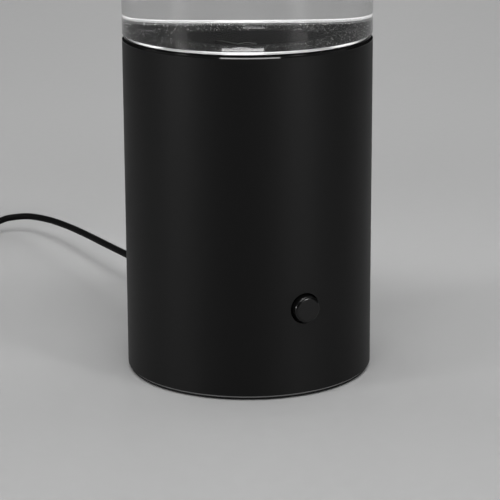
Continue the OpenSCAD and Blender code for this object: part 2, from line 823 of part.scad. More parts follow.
module terminal_block() {
  color([0.15, 0.4, 0.25]) translate([0, block_y + block_len / 2, control_top])
    block(block_w, block_len, block_h);
}

module control_screws() {
  color([0.6, 0.6, 0.62]) around(boss_angles, control_post_r)
    translate([0, 0, control_top]) mirror([0, 0, 1])
      screw(small_screw_d, board_t + control_bite, small_head_d, small_head_h);
}

module button_cap() {
  color([0.07, 0.07, 0.075]) at_button() union() {
    rotate_extrude() union() {
      translate([0, button_flange_z])
        square([button_d / 2, button_face - button_round - button_flange_z]);
      translate([0, button_face - button_round - past])
        square([button_d / 2 - button_round, button_round + past]);
      translate([button_d / 2 - button_round, button_face - button_round]) circle(button_round);
    }
    translate([0, 0, button_flange_z]) cylinder(d = button_flange_d, h = button_flange_t);
    translate([0, 0, stem_end]) cylinder(d = stem_d, h = button_flange_z - stem_end + past);
  }
}

module button_spring() {
  color([0.75, 0.76, 0.78]) swept_tube(spring_path, spring_wire, 6);
}

module switch_plunger() {
  color([0.92, 0.92, 0.9]) at_button() translate([0, 0, plunger_end])
    cylinder(d = plunger_d, h = stem_end - plunger_end);
}

module button_guide() {
  color([0.2, 0.2, 0.21]) at_button() difference() {
    union() {
      translate([0, 0, guide_z]) block(pad_w, pad_h, guide_len);
      for (x = [-1, 1]) translate([x * switch_screw_x, 0, switch_z])
        cylinder(d = guide_column_d, h = switch_len + past);
    }
    translate([0, 0, guide_floor]) cylinder(d = guide_bore_d, h = guide_len);
    translate([0, 0, guide_z - past]) cylinder(d = stem_hole_d, h = guide_back_t + 2 * past);
    for (x = [-1, 1]) translate([x * switch_screw_x, 0, switch_z - past])
      cylinder(d = small_hole_d, h = switch_len + guide_len + 2 * past);
  }
}

module push_switch() {
  color([0.12, 0.12, 0.13]) at_button() difference() {
    translate([0, 0, switch_z]) block(switch_w, switch_w, switch_len);
    translate([0, 0, plunger_bore_end])
      cylinder(d = plunger_d + 2 * run_gap, h = guide_z - plunger_bore_end + past);
  }
}

module switch_board() {
  color([0.1, 0.34, 0.2]) at_button() difference() {
    translate([0, 0, switch_board_z]) block(pad_w, pad_h, board_t);
    for (x = [-1, 1]) translate([x * switch_screw_x, 0, switch_board_z - past])
      cylinder(d = small_hole_d, h = board_t + 2 * past);
  }
}

module switch_screws() {
  color([0.6, 0.6, 0.62]) at_button() for (x = [-1, 1])
    translate([x * switch_screw_x, 0, switch_board_z])
    screw(small_screw_d, switch_screw_len, small_head_d, small_head_h);
}

module motor_leads() {
  color([0.7, 0.1, 0.1]) for (x = [-1, 1])
    translate([x * terminal_x, 0, control_top])
      cylinder(d = lead_d, h = bell_z - terminal_h - control_top);
}

module led_leads() {
  color([0.85, 0.8, 0.2]) for (y = [-1, 1])
    translate([led_lead_x, y * led_lead_y, control_top])
      cylinder(d = lead_d, h = led_board_z - control_top);
}

module switch_leads() {
  color([0.1, 0.3, 0.7]) for (x = [-1, 1])
    translate([x * switch_lead_x, switch_lead_y, control_top])
      cylinder(d = lead_d, h = button_z - pad_h / 4 - control_top);
}

module inner_lead() {
  color([0.05, 0.05, 0.05]) at_cord() translate([0, 0, block_y + block_len])
    cylinder(d = cord_d, h = relief_flange_y - block_y - block_len);
}

module strain_relief() {
  color([0.05, 0.05, 0.05]) at_cord() difference() {
    union() {
      translate([0, 0, relief_flange_y]) cylinder(d = relief_flange_d, h = relief_flange_t);
      translate([0, 0, relief_flange_y])
        cylinder(d = relief_neck_d, h = lamp_r + relief_base_len - relief_flange_y);
      translate([0, 0, lamp_r + run_gap]) cylinder(d = relief_base_d, h = relief_base_len);
      translate([0, 0, lamp_r + relief_base_len]) cylinder(
        d1 = relief_base_d - 1, d2 = relief_tip_d, h = relief_end - lamp_r - relief_base_len);
    }
    // Bending grooves
    for (i = [1 : relief_groove_count])
      translate([0, 0, lamp_r + relief_base_len + relief_groove_step * i - relief_groove])
        ring(relief_base_d, cord_d / 2 + 0.6, relief_groove);
  }
}

module cord() {
  color([0.05, 0.05, 0.05]) behind() swept_tube(cord_path, cord_d, cord_sides);
}

module cord_coil() {
  color([0.05, 0.05, 0.05]) behind() swept_tube(coil_path, cord_d, coil_sides);
}

module cord_tail() {
  color([0.05, 0.05, 0.05]) behind() swept_tube(tail_path, cord_d, cord_sides);
}

module cord_tie() {
  mid_r = (coil_r + coil_in_r) / 2;
  inner_w = coil_r - coil_in_r + cord_d + 2 * tie_room;
  inner_h = coil_top - coil_z + cord_d + 2 * tie_room;
  color([0.08, 0.08, 0.08]) behind()
    translate([coil_x + mid_r, coil_y + tie_w / 2, (coil_z + coil_top) / 2])
    rotate([90, 0, 0]) linear_extrude(tie_w) difference() {
      rounded_rect(inner_w + 2 * tie_t, inner_h + 2 * tie_t, 2 + tie_t);
      rounded_rect(inner_w, inner_h, 2);
    }
}

// Looks along the plug, from the cord to its tip
module at_plug(x) {
  behind() translate([plug_x + x, plug_y, plug_z]) rotate([90, 0, 90]) children();
}

module plug_body() {
  color([0.05, 0.05, 0.05]) union() {
    at_plug(0) cylinder(d1 = cord_d + 1, d2 = boot_d, h = boot_len);
    at_plug(boot_len) linear_extrude(plug_len) rounded_rect(plug_w, plug_h, plug_corner);
  }
}

module plug_shell() {
  color([0.75, 0.76, 0.78]) at_plug(boot_len + plug_len) linear_extrude(shell_len) difference() {
    square([shell_w, shell_h], center = true);
    square([shell_w - 2 * shell_t, shell_h - 2 * shell_t], center = true);
  }
}

module plug_tongue() {
  color([0.1, 0.1, 0.1]) at_plug(boot_len + plug_len)
    translate([0, tongue_y, 0])
      linear_extrude(tongue_len) square([tongue_w, tongue_h], center = true);
}

module plug_contacts() {
  color([0.8, 0.66, 0.32]) at_plug(boot_len + plug_len)
    for (i = [0 : contact_count - 1])
      translate([(i - (contact_count - 1) / 2) * contact_pitch, tongue_y + (tongue_h + contact_t) / 2, 1])
        linear_extrude(contact_len) square([contact_w, contact_t], center = true);
}

base_casing();
bottom_cover();
cover_screws();
rubber_feet();
vessel_floor();
floor_screws();
vessel_tube();
vessel_seal();
lid_cover();
lid_plug();
lid_seal();
impeller();
impeller_magnets();
impeller_pin();
impeller_clip();
thrust_washer();
drive_carrier();
drive_magnets();
motor_shaft();
motor_can();
motor_end_bell();
motor_terminals();
motor_bracket();
motor_screws();
bracket_screws();
led_board();
leds();
led_lenses();
led_screws();
control_board();
control_chips();
terminal_block();
control_screws();
button_cap();
button_spring();
switch_plunger();
button_guide();
push_switch();
switch_board();
switch_screws();
motor_leads();
led_leads();
switch_leads();
inner_lead();
strain_relief();
cord();
cord_coil();
cord_tie();
cord_tail();
plug_body();
plug_shell();
plug_tongue();
plug_contacts();
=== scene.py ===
# %% [markdown]
# A tornado lamp is a black drum that carries a clear tube of water. A motor in the drum spins two
# magnets, a small impeller in the water follows them, and the water turns into a funnel.
# The solids already stand in the imported model, so this lesson only dresses them: it adds what a solid
# can't show, such as the water, the round cord and the finish of every surface.
# We load the imported model first, and read the sizes of its parts from it where they are needed. The
# looks must not outgrow it.

# %% Load the imported lamp
import json
import math
import random

import bmesh
import bpy
from mathutils import Matrix, Vector


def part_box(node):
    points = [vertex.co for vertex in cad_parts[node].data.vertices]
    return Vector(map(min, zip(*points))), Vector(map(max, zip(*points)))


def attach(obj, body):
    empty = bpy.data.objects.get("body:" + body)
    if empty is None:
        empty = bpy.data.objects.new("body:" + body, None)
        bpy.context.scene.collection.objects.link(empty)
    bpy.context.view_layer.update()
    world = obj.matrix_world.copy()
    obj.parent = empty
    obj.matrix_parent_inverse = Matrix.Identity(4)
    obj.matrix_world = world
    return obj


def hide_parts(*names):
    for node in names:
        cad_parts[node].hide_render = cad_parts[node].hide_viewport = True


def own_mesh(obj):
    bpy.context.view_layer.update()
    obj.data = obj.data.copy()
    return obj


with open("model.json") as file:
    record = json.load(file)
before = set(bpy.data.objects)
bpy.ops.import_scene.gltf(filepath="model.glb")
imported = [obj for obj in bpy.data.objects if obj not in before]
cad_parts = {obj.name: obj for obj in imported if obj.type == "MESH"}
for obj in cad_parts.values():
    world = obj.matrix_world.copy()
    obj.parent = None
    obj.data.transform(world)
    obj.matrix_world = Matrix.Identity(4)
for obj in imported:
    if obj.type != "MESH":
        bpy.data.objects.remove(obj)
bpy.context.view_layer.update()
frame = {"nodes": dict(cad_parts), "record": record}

MM = 0.001

# %% [markdown]
# The camera comes first, because everything else is compared through it. The photograph is a product
# shot from a little above, with a long lens: the drum's sides lean in only slightly.
# The place and the lens below were worked out from the drum's width at its foot and at its rim.
# A long lens far away could be guessed by eye, but a measured one makes the edges fall on the right pixels.

# %% Stand the camera
CAMERA_PLACE = Vector((-0.4189, -0.8494, 0.3148))
CAMERA_TURN = math.radians(-26.291)
CAMERA_DIP = math.radians(15.478)
CAMERA_ROLL = math.radians(-0.283)
SENSOR_WIDTH = 36.0
LENS_LENGTH = 157.02
NEAREST_SEEN = 0.01

camera_data = bpy.data.cameras.new("product_camera")
camera_data.sensor_width = SENSOR_WIDTH
camera_data.lens = LENS_LENGTH
camera_data.clip_start = NEAREST_SEEN
camera = bpy.data.objects.new("product_camera", camera_data)
bpy.context.scene.collection.objects.link(camera)
camera.matrix_world = (
    Matrix.Translation(CAMERA_PLACE)
    @ Matrix.Rotation(CAMERA_TURN, 4, "Z")
    @ Matrix.Rotation(math.radians(90) - CAMERA_DIP, 4, "X")
    @ Matrix.Rotation(CAMERA_ROLL, 4, "Z")
)
bpy.context.scene.camera = camera
print("camera is", round(CAMERA_PLACE.length, 3), "m from the lamp's foot")

# %% [markdown]
# The cord leaves the drum at the back through a strain relief, runs out straight, sinks towards the table
# and bends to the left. The photograph shows it up to its left edge. The rest of its length is wound
# into a round coil with a tie, just outside the view, and ends in a small plug.
# A curve object is the natural way to make it: one line of points, and Blender gives it a round section.
# The few points of the free stretches are listed, and a short formula smooths them.

# %% Lay out the cord's free stretches
CORD_WIDTH = 3.5 * MM
RELIEF_END = 77 * MM
CORD_HEIGHT = 18 * MM
COIL_HEIGHT = 3 * MM
COIL_TOP = 15.3 * MM
PLUG_HEIGHT = 4.3 * MM

# x and y behind the strain relief in mm, and the share of the drop that is still left
FREE_STRETCH = [
    (0, 0, 1), (0, 9, 1), (0, 24, 0.97), (0, 44, 0.92), (0, 66, 0.83), (0, 92, 0.75), (0, 119, 0.67),
    (-0.5, 144, 0.58), (-3, 166, 0.5), (-8.5, 183, 0.41), (-17.5, 189, 0.33), (-24, 187.5, 0.28),
    (-35, 185, 0.18), (-46, 184, 0.09), (-56, 183.5, 0.03), (-64.5, 183.4, 0),
]
LAST_STRETCH = [
    (-71.5, 183.4, 1), (-80, 184.8, 0.94), (-90, 190.5, 0.79), (-97.5, 199.5, 0.59), (-101, 211, 0.36),
    (-99, 223, 0.17), (-92.5, 233.5, 0.05), (-83, 240.5, 0.01), (-75, 243, 0), (-70, 243, 0),
]


def stretch_points(route, high, low):
    """Points of a stretch in metres, which sinks from one height to another."""
    return [Vector((x * MM, RELIEF_END + y * MM, low + share * (high - low))) for x, y, share in route]


def smooth_line(points, steps):
    """Curve that passes through every point, with some steps between each pair."""
    line = []
    last = len(points) - 1
    for i in range(last):
        a, b = points[max(i - 1, 0)], points[i]
        c, d = points[i + 1], points[min(i + 2, last)]
        for j in range(steps):
            t = j / steps
            lean = 2 * a - 5 * b + 4 * c - d
            bow = 3 * b - a - 3 * c + d
            line.append(b + 0.5 * t * (c - a + t * (lean + t * bow)))
    return line + [points[last]]


STEPS_PER_POINT = 8
free_line = smooth_line(stretch_points(FREE_STRETCH, CORD_HEIGHT, COIL_HEIGHT), STEPS_PER_POINT)
last_line = smooth_line(stretch_points(LAST_STRETCH, COIL_TOP, PLUG_HEIGHT), STEPS_PER_POINT)
print("free stretches have", len(free_line), "and", len(last_line), "points")

# %% [markdown]
# The coil is wound as a hand would wind it: it spirals in for two turns and a quarter, climbs, spirals
# out, and so on for four layers. Radius and height are two small functions of the turns wound so far,
# so no point of it is typed. A ready-made spiral add-on would do as well, but it winds only one layer.

# %% Wind the coil
COIL_PLACE = Vector((-68 * MM, RELIEF_END + 208 * MM, 0))
COIL_RADIUS = 24.6 * MM
COIL_PITCH = 4.1 * MM
COIL_LAYERS = 4
LAYER_TURNS = 2.25
CLIMB_TURNS = 0.5
COIL_START = -90
STEPS_PER_TURN = 48


def coil_radius(turns):
    """Inward on even layers, outward on odd ones."""
    layer = min(int(turns / LAYER_TURNS), COIL_LAYERS - 1)
    inward = COIL_PITCH * (turns - layer * LAYER_TURNS)
    if layer % 2 == 0:
        return COIL_RADIUS - inward
    return COIL_RADIUS - LAYER_TURNS * COIL_PITCH + inward


def coil_rise(turns):
    """Soft step from each layer up to the next."""
    rise = 0
    for layer in range(1, COIL_LAYERS):
        u = min(max((turns - layer * LAYER_TURNS) / CLIMB_TURNS + 0.5, 0), 1)
        rise += u * u * (3 - 2 * u) * COIL_PITCH
    return rise


def coil_point(turns):
    angle = math.radians(COIL_START - 360 * turns)
    reach = coil_radius(turns)
    flat = Vector((reach * math.cos(angle), reach * math.sin(angle), COIL_HEIGHT + coil_rise(turns)))
    return COIL_PLACE + flat


coil_steps = int(COIL_LAYERS * LAYER_TURNS * STEPS_PER_TURN)
coil_line = [coil_point(i / STEPS_PER_TURN) for i in range(coil_steps + 1)]
print("coil has", COIL_LAYERS * LAYER_TURNS, "turns and", len(coil_line), "points")

# %% [markdown]
# Now the three stretches become one curve with a round section. It could be a mesh of rings, but a curve
# keeps the line of points on which its length and its bends are measured.

# %% Draw the cord as one curve
SECTION_STEPS = 5
cord_line = free_line + coil_line + last_line

cord_curve = bpy.data.curves.new("power_cord", "CURVE")
cord_curve.dimensions = "3D"
# A depth of one, so that the radius of each point is the cord's own
cord_curve.bevel_depth = 1.0
cord_curve.bevel_resolution = SECTION_STEPS
cord_curve.use_fill_caps = True
spline = cord_curve.splines.new("POLY")
spline.points.add(len(cord_line) - 1)
for point, place in zip(spline.points, cord_line):
    point.co = (*place, 1)
    point.radius = CORD_WIDTH / 2
spline.use_smooth = True
power_cord = bpy.data.objects.new("power_cord", cord_curve)
bpy.context.scene.collection.objects.link(power_cord)

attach(power_cord, "base")
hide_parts("cord", "cord_coil", "cord_tail")
node = frame["nodes"]

# %% [markdown]
# The lamp stands on pale grey paper that runs far out, so no edge of it shows. A curved paper sweep would
# also hide the horizon, but it would stand in the way when the lamp is looked at from behind.

# %% Roll out the floor
FLOOR_REACH = 14.0
floor_mesh = bpy.data.meshes.new("studio_floor")
corners = [(-1, -1), (1, -1), (1, 1), (-1, 1)]
floor_mesh.from_pydata([(x * FLOOR_REACH, y * FLOOR_REACH, 0) for x, y in corners], [], [(0, 1, 2, 3)])
studio_floor = bpy.data.objects.new("studio_floor", floor_mesh)
bpy.context.scene.collection.objects.link(studio_floor)
print("floor is", 2 * FLOOR_REACH, "m across")

# %% [markdown]
# Black plastic and clear acrylic show little but what they mirror or bend, so each light has one job.
# Lights are placed by their angle from the camera and are aimed at the lamp, which a small helper does.
# Dragging them by eye works too, but a mirror image moves twice as fast as its light, so angles are safer.
# The plain view transform shows the greys as they are, without the soft roll-off of film.

# %% A helper that hangs a softbox
bpy.context.scene.view_settings.view_transform = "Standard"
LAMP_MIDDLE = Vector((0, 0, 0.15))
camera_way = math.atan2(CAMERA_PLACE.y, CAMERA_PLACE.x)


def studio_place(angle, distance, height):
    """Point at an angle to the right of the camera, seen from the lamp."""
    way = camera_way + math.radians(angle)
    return Vector((distance * math.cos(way), distance * math.sin(way), height))


def softbox(name, place, aim, wide, tall, watts):
    """Area light that looks at a point and that the camera doesn't see."""
    light = bpy.data.lights.new(name, "AREA")
    light.shape = "RECTANGLE"
    light.size = wide
    light.size_y = tall
    light.energy = watts
    box = bpy.data.objects.new(name, light)
    bpy.context.scene.collection.objects.link(box)
    box.location = place
    box.rotation_euler = (aim - place).to_track_quat("-Z", "Y").to_euler()
    box.visible_camera = False
    return box


print("the camera stands at", round(math.degrees(camera_way), 1), "degrees")

# %% [markdown]
# Two boxes at the sides put two pale bands on the drum. The right one would also show as a bright patch
# through the water, so it is left out of what clear pieces let through. A box above the lamp's front
# lightens the paper there. A long strip overhead lies as a thin bar on the bevel of the drum's shoulder.
# A wide dim ceiling lights the paper far out. One large dome could do all of this, but it would leave
# no shape in what the black plastic mirrors.

# %% Hang the lights that the drum mirrors
LAMP_LOW = Vector((0, 0, 0.08))
left_place = studio_place(angle=-63, distance=3.5, height=0.75)
softbox("left_softbox", left_place, LAMP_LOW, wide=0.56, tall=0.8, watts=60)
right_place = studio_place(angle=47, distance=3.5, height=0.75)
right_softbox = softbox("right_softbox", right_place, LAMP_LOW, wide=0.66, tall=0.8, watts=60)
right_softbox.visible_transmission = False
front_place = studio_place(angle=0, distance=0.8, height=1.3)
softbox("front_softbox", front_place, LAMP_MIDDLE, wide=0.8, tall=0.3, watts=9)
top_place = studio_place(angle=8.7, distance=0.5, height=3.0)
below_top = top_place - Vector((0, 0, 1))
top_light = softbox("top_light", top_place, below_top, wide=1.65, tall=0.24, watts=33)
# Straight down, with its long side across the view
top_light.rotation_euler = (0, 0, CAMERA_TURN)
CEILING_HEIGHT = 7
softbox("ceiling", Vector((0, 0, CEILING_HEIGHT)), Vector((0, 0, 0)), wide=18, tall=18, watts=340)

# %% [markdown]
# Three large boxes behind shine through the water into the cut foot of the tube, which shows their light as
# a white line all round. They are left out of mirror images, where they would streak the ends of the
# shoulder's bevel. The black floor under the water mirrors a small strip behind as a short bar.
# A glowing ring could stand for the line, but it would glow in the dark and from every side.
# A faint grey all round keeps the shadows from going quite black.

# %% Hang the lights that shine through the water
BACK_DISTANCE = 2.6
# Angle, height, width, how tall and watts of each box
BACK_BOXES = [(-128, 1.4, 3.0, 1.3, 32), (180, 0.9, 2.1, 0.3, 4.4), (128, 1.4, 3.0, 1.3, 32)]
for angle, height, wide, tall, watts in BACK_BOXES:
    back_place = studio_place(angle, BACK_DISTANCE, height)
    back_box = softbox("back_softbox_" + str(angle), back_place, LAMP_MIDDLE, wide, tall, watts)
    back_box.visible_glossy = False
STRIP_FOOT = 0.622
STRIP_TALL = 0.3
strip_middle = STRIP_FOOT + STRIP_TALL / 2
strip_place = studio_place(179.1, BACK_DISTANCE, strip_middle)
softbox("back_strip", strip_place, Vector((0, 0, strip_middle)), wide=0.37, tall=STRIP_TALL, watts=0.95)

AIR_GREY = 0.016
world = bpy.data.worlds.new("studio_air")
bpy.context.scene.world = world
world.use_nodes = True
world.node_tree.nodes["Background"].inputs["Color"].default_value = (AIR_GREY, AIR_GREY, AIR_GREY, 1)

# %% [markdown]
# A finish is a Principled shader whose colour, gloss and relief vary a little, as on every real surface.
# The variation comes from one noise texture in the lamp's own coordinates, and its grain is given in
# millimetres. A painted texture would show more detail, but it would need unwrapping, which this doesn't.
# Values that are the same all over are set on the shader itself.

# %% A helper for grained finishes
# Most values of the noise lie between these two
NOISE_LOW = 0.3
NOISE_HIGH = 0.7


def new_finish(name):
    """New material with its Principled shader."""
    material = bpy.data.materials.new(name)
    material.use_nodes = True
    return material, material.node_tree.nodes["Principled BSDF"]


def add_node(material, kind, **inputs):
    """New shader node with some of its inputs set."""
    made = material.node_tree.nodes.new(kind)
    for socket, value in inputs.items():
        made.inputs[socket.replace("_", " ")].default_value = value
    return made


def grey(level):
    return (level, level, level)


def grained(name, dark, light, rough, grain_mm, relief_mm, metallic=0.0, specular=0.5, bend=1.5):
    """Finish between two colours and two roughnesses, with a grain and a relief in mm."""
    material, shader = new_finish(name)
    link = material.node_tree.links.new
    coords = add_node(material, "ShaderNodeTexCoord")
    noise = add_node(material, "ShaderNodeTexNoise", Scale=1 / (grain_mm * MM), Detail=3.0)
    tint = add_node(material, "ShaderNodeValToRGB")
    tint.color_ramp.elements[0].position = NOISE_LOW
    tint.color_ramp.elements[1].position = NOISE_HIGH
    tint.color_ramp.elements[0].color = (*dark, 1)
    tint.color_ramp.elements[1].color = (*light, 1)
    gloss = add_node(
        material, "ShaderNodeMapRange", From_Min=NOISE_LOW, From_Max=NOISE_HIGH,
        To_Min=rough[0], To_Max=rough[1])
    bump = add_node(material, "ShaderNodeBump", Strength=1.0, Distance=relief_mm * MM)
    link(coords.outputs["Object"], noise.inputs["Vector"])
    link(noise.outputs["Fac"], tint.inputs["Fac"])
    link(noise.outputs["Fac"], gloss.inputs["Value"])
    link(noise.outputs["Fac"], bump.inputs["Height"])
    link(tint.outputs["Color"], shader.inputs["Base Color"])
    link(gloss.outputs["Result"], shader.inputs["Roughness"])
    link(bump.outputs["Normal"], shader.inputs["Normal"])
    shader.inputs["Metallic"].default_value = metallic
    shader.inputs["Specular IOR Level"].default_value = specular
    shader.inputs["IOR"].default_value = bend
    return material


floor_paper = grained(
    "floor_paper", dark=grey(0.318), light=grey(0.333), rough=(0.55, 0.65), grain_mm=6, relief_mm=0.02)
floor_mesh.materials.append(floor_paper)
print("floor finish:", floor_paper.name)

# %% [markdown]
# The drum and the lid are moulded in black plastic with a fine satin skin. It looks almost even, but a
# grain of a third of a millimetre breaks its highlights, which turns mirror images into soft bands.
# Black plastic reflects little, so the bands stay dim. A darker light would dim them too, but it would also
# dim the paper, so a low specular level does it.

# %% Finish of the drum and the lid
SATIN_GRAIN = 0.35


def satin_black(name):
    return grained(name, grey(0.0018), grey(0.0028), (0.46, 0.52), SATIN_GRAIN, 0.006, specular=0.14)


rimmed_black = satin_black("satin_black_rim")
print("satin skin has a grain of", SATIN_GRAIN, "mm")

# %% [markdown]
# The bevel on the drum's shoulder is buffed after moulding, so it is smoother and shows a thin bright bar.
# It could be a piece of its own, but the height alone can tell the shader where the smooth part begins.

# %% Buff the drum's shoulder
SHOULDER_BEVEL = 1.0
RIM_ROUGH = 0.06
RIM_RELIEF = 0.05
RIM_FADE = 0.3


def height_ramp(material, top_mm, fade_mm, below, above):
    """Node whose value goes from one number below a height to another above it."""
    link = material.node_tree.links.new
    coords = add_node(material, "ShaderNodeTexCoord")
    place = add_node(material, "ShaderNodeSeparateXYZ")
    ramp = add_node(
        material, "ShaderNodeMapRange", From_Min=(top_mm - fade_mm) * MM, From_Max=top_mm * MM,
        To_Min=below, To_Max=above)
    link(coords.outputs["Object"], place.inputs["Vector"])
    link(place.outputs["Z"], ramp.inputs["Value"])
    return ramp


def buff_above(material, height_mm, rough):
    """Smoother skin above a height."""
    nodes = material.node_tree.nodes
    link = material.node_tree.links.new
    shader = nodes["Principled BSDF"]
    skin = shader.inputs["Roughness"].links[0].from_socket
    buffed = height_ramp(material, height_mm, RIM_FADE, 0.0, rough)
    relief = height_ramp(material, height_mm, RIM_FADE, 1.0, RIM_RELIEF)
    link(skin, buffed.inputs["To Min"])
    link(buffed.outputs["Result"], shader.inputs["Roughness"])
    link(relief.outputs["Result"], nodes["Bump"].inputs["Strength"])


rim_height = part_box("base_casing")[1].z / MM - SHOULDER_BEVEL
buff_above(rimmed_black, rim_height, RIM_ROUGH)
print("drum is smooth above", round(rim_height, 1), "mm")

# %% [markdown]
# The drum's lower bevel gets a paler colour. It is a painted highlight that shows as a hairline of light
# above the black cover. A low light could draw it too, but it would spill on the paper in front.

# %% Paint a highlight on the drum's lower edge
EDGE_BEVEL = 0.8
EDGE_HIGHLIGHT_GREY = 0.16
EDGE_FADE = 0.05


def paint_highlight_below(material, height_mm, colour):
    """Painted highlight: paler colour below a height."""
    nodes = material.node_tree.nodes
    link = material.node_tree.links.new
    # Mask of the painted highlight: one below the height, none above
    cut = height_ramp(material, height_mm, EDGE_FADE, 1.0, 0.0)
    blend = nodes.new("ShaderNodeMix")
    blend.data_type = "RGBA"
    blend.inputs["B"].default_value = (*colour, 1)
    link(cut.outputs["Result"], blend.inputs["Factor"])
    link(nodes["Color Ramp"].outputs["Color"], blend.inputs["A"])
    link(blend.outputs["Result"], nodes["Principled BSDF"].inputs["Base Color"])


edge_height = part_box("base_casing")[0].z / MM + EDGE_BEVEL
# The paler lower bevel is a painted highlight, not a colour of the plastic
paint_highlight_below(rimmed_black, edge_height, grey(EDGE_HIGHLIGHT_GREY))
print("drum is pale below", round(edge_height, 1), "mm")

# %% [markdown]
# The other plastics and the rubber follow the same recipe with their own colours, gloss and grain.
# Under water a plastic shines less, because water bends light almost as much as the plastic does. The
# shader is told so by the ratio of the two. A mask by height could dim it too, but this holds at any angle.

# %% Finishes of the outer plastics and the rubber
ACRYLIC_BEND = 1.49
WATER_BEND = 1.33
PLASTIC_BEND = 1.5
WET_PLASTIC_BEND = PLASTIC_BEND / WATER_BEND

# Name, two colours, range of roughness, grain and relief in mm
finishes = {
    "casing": satin_black("satin_black"),
    "inner_black": grained("matt_black", grey(0.012), grey(0.018), (0.5, 0.6), 0.5, 0.01),
    "floor_black": grained(
        "wet_black", grey(0.002), grey(0.004), (0.004, 0.01), 0.6, 0.00003,
        specular=0.2, bend=WET_PLASTIC_BEND),
    "impeller_black": grained(
        "wet_matt_black", grey(0.003), grey(0.005), (0.6, 0.7), 0.5, 0.01,
        specular=0.1, bend=WET_PLASTIC_BEND),
    "smoked_lens": grained(
        "smoked_lens", grey(0.003), grey(0.005), (0.08, 0.12), 1.5, 0.003, bend=WET_PLASTIC_BEND),
    "rubber": grained("foot_rubber", grey(0.012), grey(0.02), (0.65, 0.8), 0.4, 0.02, specular=0.3),
    "button_black": grained(
        "button_black", grey(0.002), grey(0.003), (0.16, 0.2), 0.3, 0.001, specular=0.22),
    "cord_black": grained(
        "cord_sheath", grey(0.002), grey(0.0035), (0.5, 0.58), 0.5, 0.008, specular=0.05),
}
print("finishes so far:", len(finishes))

# %% [markdown]
# Screws, springs, magnets and the motor's can are metal. A metal has no colour under a clear skin as plastic
# has. It tints what it mirrors, so the metallic value is one and the colour is that of its shine. Scratches
# could be painted on each piece, but a fine grain in the gloss is enough at this size.

# %% Finishes of the metals
finishes |= {
    "screw_steel": grained("zinc_steel", grey(0.42), grey(0.55), (0.3, 0.42), 0.8, 0.01, metallic=1.0),
    "bright_steel": grained(
        "bright_steel", grey(0.6), grey(0.68), (0.16, 0.26), 0.6, 0.004, metallic=1.0),
    "dark_steel": grained(
        "blackened_steel", grey(0.004), grey(0.008), (0.65, 0.75), 0.6, 0.004, metallic=1.0),
    "can_steel": grained("plated_sheet", grey(0.42), grey(0.5), (0.28, 0.4), 2.0, 0.01, metallic=1.0),
    "magnet": grained("nickel_plate", grey(0.55), grey(0.64), (0.12, 0.2), 1.0, 0.004, metallic=1.0),
    "brass": grained(
        "brass", (0.62, 0.44, 0.16), (0.75, 0.56, 0.24), (0.2, 0.3), 0.8, 0.004, metallic=1.0),
}
print("finishes so far:", len(finishes))

# %% [markdown]
# Inside the drum there are natural white plastic, black chips, a green terminal block and coloured leads.
# One grey for all of them would pass in the photograph, which shows none, but with the hues a reader who
# opens the drum can follow the wiring.

# %% Finishes of the inner plastics
finishes |= {
    "white_plastic": grained(
        "natural_plastic", (0.68, 0.66, 0.6), (0.76, 0.75, 0.7), (0.4, 0.5), 1.0, 0.01),
    "chip_black": grained("moulded_package", grey(0.02), grey(0.03), (0.45, 0.6), 0.2, 0.01),
    "terminal_green": grained(
        "terminal_green", (0.02, 0.16, 0.06), (0.03, 0.2, 0.08), (0.35, 0.45), 0.6, 0.01),
    "lead_red": grained("lead_red", (0.34, 0.012, 0.012), (0.42, 0.02, 0.02), (0.35, 0.45), 0.6, 0.01),
    "lead_yellow": grained(
        "lead_yellow", (0.55, 0.4, 0.02), (0.62, 0.47, 0.03), (0.35, 0.45), 0.6, 0.01),
    "lead_blue": grained("lead_blue", (0.02, 0.06, 0.34), (0.03, 0.09, 0.42), (0.35, 0.45), 0.6, 0.01),
}
print("finishes so far:", len(finishes))

# %% [markdown]
# Circuit boards are green lacquer over copper tracks. The tracks show as slightly lighter, raised lanes,
# so a brick texture with thin joints stands for them: its joints run like tracks do, straight and stepped.
# Modelled tracks would be exact, but they would be lost inside a closed drum.
# The lamps on the light board are white packages with a yellow phosphor window, off in the photograph.

# %% Finishes of the boards and the lamps
def board_green():
    """Lacquer with raised tracks."""
    material, shader = new_finish("board_green")
    link = material.node_tree.links.new
    coords = add_node(material, "ShaderNodeTexCoord")
    tracks = add_node(
        material, "ShaderNodeTexBrick",
        Scale=1.0, Mortar_Size=0.4 * MM, Brick_Width=7 * MM, Row_Height=2.1 * MM,
        Color1=(0.012, 0.085, 0.035, 1), Color2=(0.014, 0.1, 0.04, 1), Mortar=(0.03, 0.19, 0.08, 1))
    bump = add_node(material, "ShaderNodeBump", Strength=0.6, Distance=0.05 * MM)
    link(coords.outputs["Object"], tracks.inputs["Vector"])
    link(tracks.outputs["Color"], shader.inputs["Base Color"])
    link(tracks.outputs["Fac"], bump.inputs["Height"])
    link(bump.outputs["Normal"], shader.inputs["Normal"])
    shader.inputs["Roughness"].default_value = 0.25
    return material


finishes["board_green"] = board_green()
finishes["lamp_yellow"] = grained(
    "phosphor", (0.78, 0.62, 0.16), (0.88, 0.76, 0.32), (0.3, 0.4), 0.4, 0.01)
print("finishes in all:", len(finishes))

# %% [markdown]
# The tube is polished acrylic, which bends light more than water does. Where water wets its inner wall,
# light passes from one to the other and bends only by the ratio of the two, so the wetted wall has a
# finish of its own. That is why a full tube shows no wall at its sides, while an empty one does.
# Glass shaders could be layered with thin gaps of air, but a gap would bring the wall back.
# The bevel at the foot is left as cut, so it scatters part of the light and is never quite clear.

# %% Finishes of the acrylic and the water
def clear(name, bend, tint, rough=0.0, passing=1.0):
    """Finish that lets light pass and bends it by a ratio."""
    material, shader = new_finish(name)
    shader.inputs["Base Color"].default_value = (*tint, 1)
    shader.inputs["Roughness"].default_value = rough
    shader.inputs["IOR"].default_value = bend
    shader.inputs["Transmission Weight"].default_value = passing
    return material


